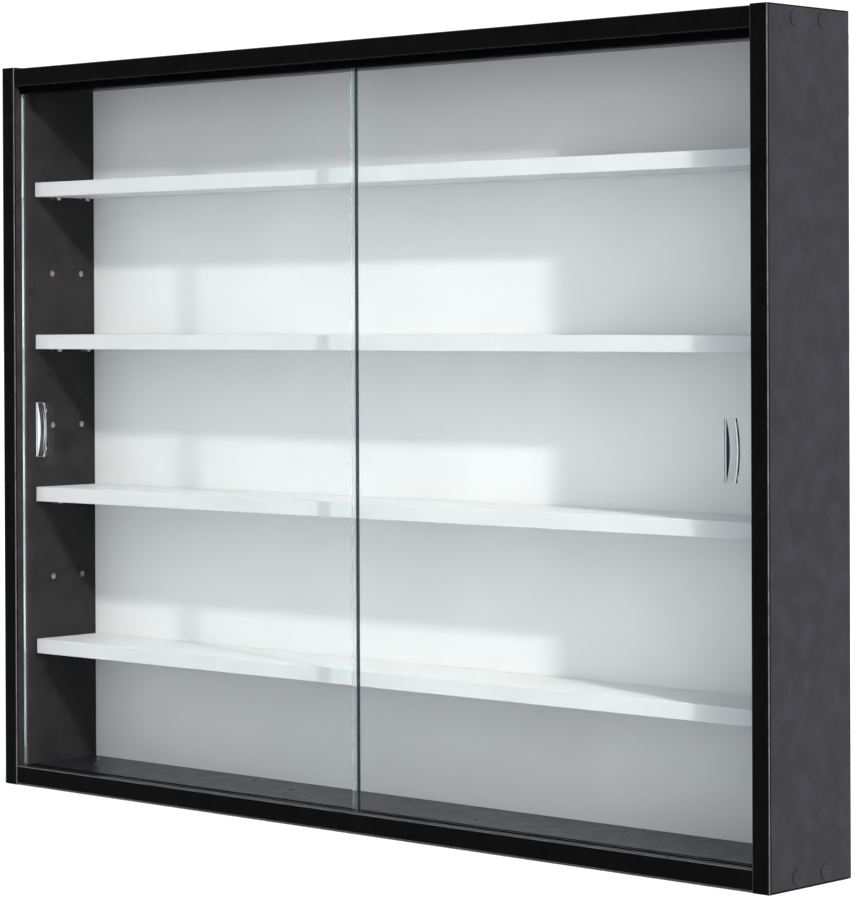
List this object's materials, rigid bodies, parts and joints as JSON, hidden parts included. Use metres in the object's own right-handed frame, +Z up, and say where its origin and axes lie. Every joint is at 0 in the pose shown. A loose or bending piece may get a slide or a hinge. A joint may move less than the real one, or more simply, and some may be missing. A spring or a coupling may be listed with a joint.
{
  "type": "wall display showcase",
  "caption": "Shallow wall display cabinet of dark board with white adjustable shelves behind sliding glass doors in twin-groove tracks.",
  "frame": {"origin": "middle of the underside, on the floor plane, midway between the sides and between front and wall plates", "axes": "X to the right seen from the front, Y from the glass front to the wall, Z up"},
  "size_m": [0.801, 0.0944, 0.6],
  "materials": {
    "charcoal_board": "matte melamine facing on particle board",
    "black_band": "satin",
    "white_board": "matte melamine facing on particle board",
    "white_band": "satin",
    "black_plastic": "satin",
    "clear_glass": "polished",
    "clear_acrylic": "polished",
    "nickel_steel": "satin",
    "zinc_steel": "satin",
    "charcoal_cap": "matte"
  },
  "bodies": {
    "cabinet": {"left_side_panel": "charcoal_board", "left_side_front_band": "black_band", "left_side_end_bands": "black_band", "right_side_panel": "charcoal_board", "right_side_front_band": "black_band", "right_side_end_bands": "black_band", "top_panel": "charcoal_board", "top_front_band": "black_band", "bottom_panel": "charcoal_board", "bottom_front_band": "black_band", "back_panel": "white_board", "back_nails": "zinc_steel", "lower_track": "black_plastic", "upper_track": "black_plastic", "shelf_1_pins": "nickel_steel", "shelf_2_pins": "nickel_steel", "shelf_3_pins": "nickel_steel", "shelf_4_pins": "nickel_steel", "left_side_screws": "zinc_steel", "left_screw_caps": "charcoal_cap", "left_hanger_plate": "zinc_steel", "left_hanger_screws": "zinc_steel", "right_side_screws": "zinc_steel", "right_screw_caps": "charcoal_cap", "right_hanger_plate": "zinc_steel", "right_hanger_screws": "zinc_steel"},
    "left_door": {"left_door_glass": "clear_glass", "left_door_pull": "clear_acrylic"},
    "right_door": {"right_door_glass": "clear_glass", "right_door_pull": "clear_acrylic"},
    "shelf_1": {"shelf_1_board": "white_board", "shelf_1_front_band": "white_band"},
    "shelf_2": {"shelf_2_board": "white_board", "shelf_2_front_band": "white_band"},
    "shelf_3": {"shelf_3_board": "white_board", "shelf_3_front_band": "white_band"},
    "shelf_4": {"shelf_4_board": "white_board", "shelf_4_front_band": "white_band"}
  },
  "joints": [
    {"name": "left_door_slide", "type": "slide", "parent": "cabinet", "child": "left_door", "axis": [1, 0, 0], "range_m": [0, 0.379]},
    {"name": "right_door_slide", "type": "slide", "parent": "cabinet", "child": "right_door", "axis": [1, 0, 0], "range_m": [-0.379, 0]},
    {"name": "shelf_1_lift", "type": "slide", "parent": "cabinet", "child": "shelf_1", "axis": [0, 0, 1], "range_m": [0, 0.075]},
    {"name": "shelf_2_lift", "type": "slide", "parent": "cabinet", "child": "shelf_2", "axis": [0, 0, 1], "range_m": [0, 0.11]},
    {"name": "shelf_3_lift", "type": "slide", "parent": "cabinet", "child": "shelf_3", "axis": [0, 0, 1], "range_m": [0, 0.11]},
    {"name": "shelf_4_lift", "type": "slide", "parent": "cabinet", "child": "shelf_4", "axis": [0, 0, 1], "range_m": [0, 0.11]}
  ]
}
